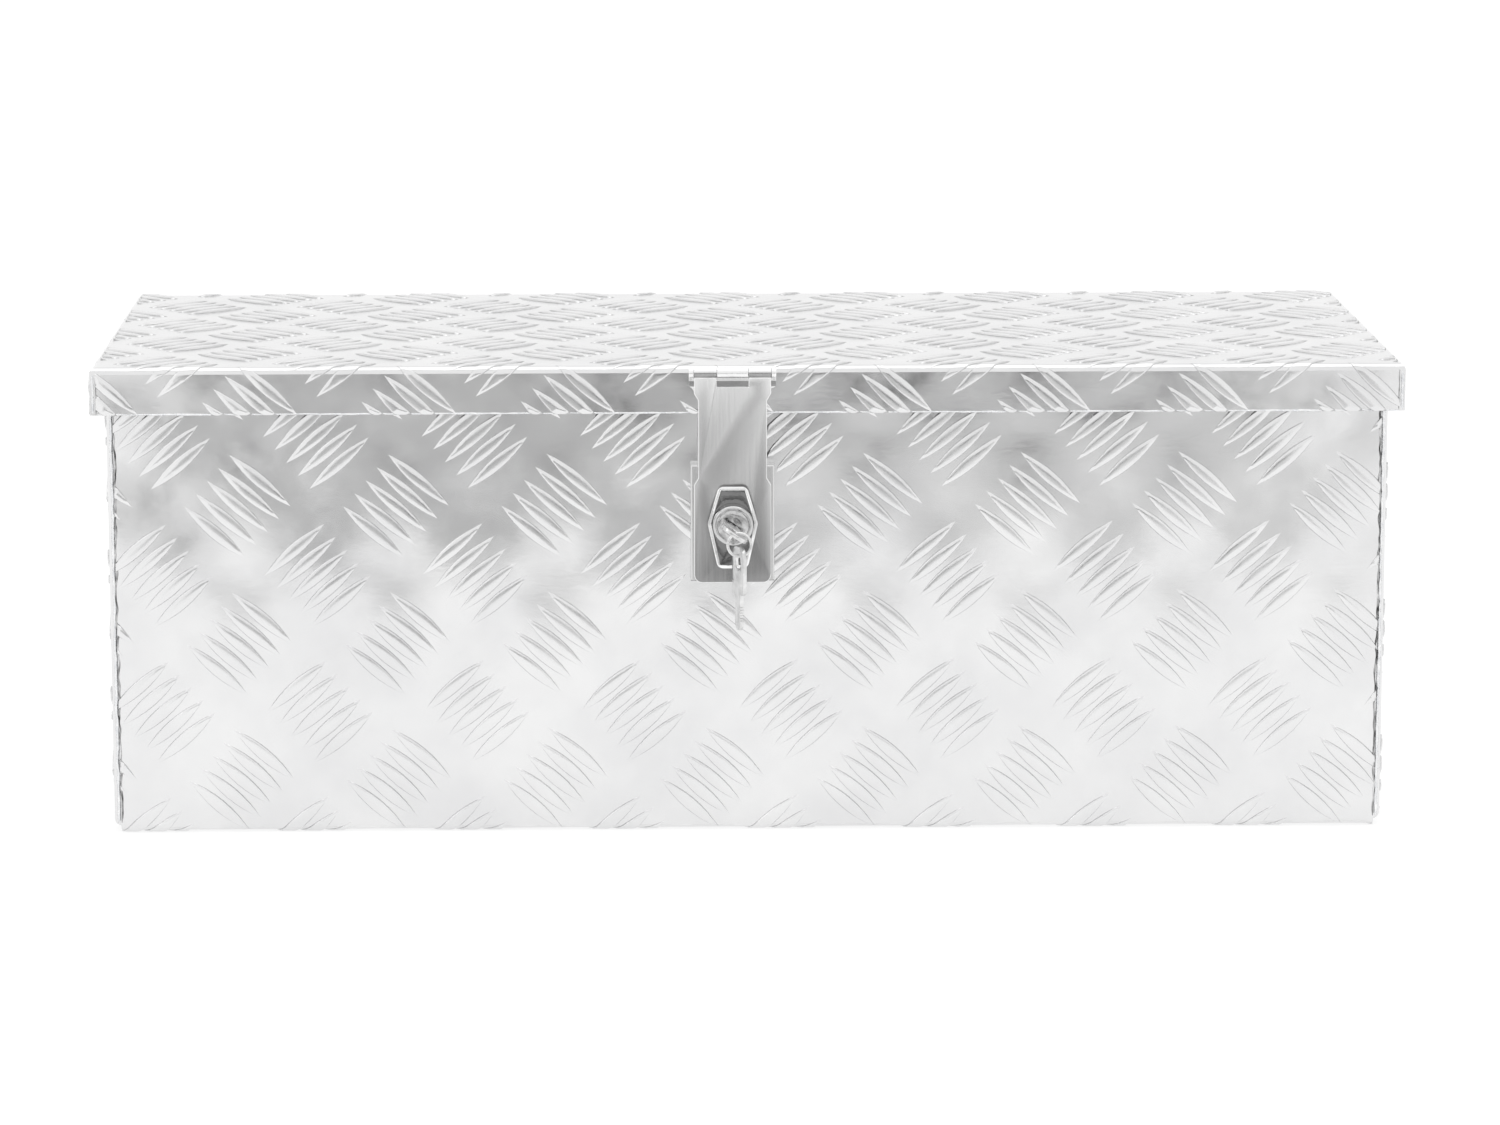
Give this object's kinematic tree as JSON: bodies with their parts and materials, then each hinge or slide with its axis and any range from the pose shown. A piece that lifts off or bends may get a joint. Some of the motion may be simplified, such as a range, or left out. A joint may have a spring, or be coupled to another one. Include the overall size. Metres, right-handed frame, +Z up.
{
  "type": "truck tool box",
  "caption": "Long low tread-plate aluminium tool box with a drop-over hinged lid, front hasp with key lock and keys in place.",
  "frame": {"origin": "middle of the flat underside of the box body, on the surface that it stands on", "axes": "+Z up, +X to the right seen from the front, the hasp faces -Y and the hinge is on the +Y side"},
  "size_m": [0.58, 0.2846, 0.21],
  "materials": {
    "tread_sheet": "bright rolled tread plate with raised five-bar pattern",
    "hinge_metal": "satin stainless",
    "rivet_metal": "bright",
    "seal_rubber": "matt black",
    "hasp_steel": "plated, fine vertical brushing",
    "lock_chrome": "polished die casting",
    "lock_inner": "machined",
    "key_metal": "nickel plated"
  },
  "bodies": {
    "box": {"body_wrap": "tread_sheet", "end_panel_left": "tread_sheet", "end_panel_right": "tread_sheet", "rim_seal": "seal_rubber", "hinge_leaf_body": "hinge_metal", "hinge_pin": "hinge_metal", "hinge_rivets_body": "rivet_metal", "keeper": "hasp_steel", "keeper_rivets": "rivet_metal"},
    "lid": {"lid_panel": "tread_sheet", "hinge_leaf_lid": "hinge_metal", "hinge_rivets_lid": "rivet_metal", "hasp_fixed_leaf": "hasp_steel", "hasp_leaf_rivets": "rivet_metal", "hasp_pin": "hasp_steel"},
    "strap": {"hasp_strap": "hasp_steel", "lock_housing": "lock_chrome"},
    "plug": {"lock_plug": "lock_chrome", "lock_wafers": "lock_inner", "retaining_clip": "lock_inner", "lock_cam": "lock_inner", "cam_screw": "lock_inner"},
    "key": {"key_in_lock": "key_metal"},
    "ring": {"key_ring": "key_metal"},
    "spare": {"spare_key": "key_metal"}
  },
  "joints": [
    {"name": "lid_hinge", "type": "hinge", "parent": "box", "child": "lid", "pos_m": [0, 0.1219, 0.1854], "axis": [-1, 0, 0], "range_deg": [0, 110]},
    {"name": "hasp_hinge", "type": "hinge", "parent": "lid", "child": "strap", "pos_m": [-0.0075, -0.1258, 0.2076], "axis": [-1, 0, 0], "range_deg": [0, 180]},
    {"name": "key_turn", "type": "hinge", "parent": "strap", "child": "plug", "pos_m": [-0.0075, -0.126, 0.1407], "axis": [0, 1, 0], "range_deg": [0, 90]},
    {"name": "key_pull", "type": "slide", "parent": "plug", "child": "key", "axis": [0, -1, 0], "range_m": [0, 0.03]},
    {"name": "ring_swing", "type": "hinge", "parent": "key", "child": "ring", "pos_m": [-0.00678, -0.1527, 0.1402], "axis": [1, 0, 0], "range_deg": [-20, 20]},
    {"name": "spare_key_swing", "type": "hinge", "parent": "ring", "child": "spare", "pos_m": [-0.00513, -0.1527, 0.13028], "axis": [1, 0, 0], "range_deg": [-30, 30]}
  ]
}
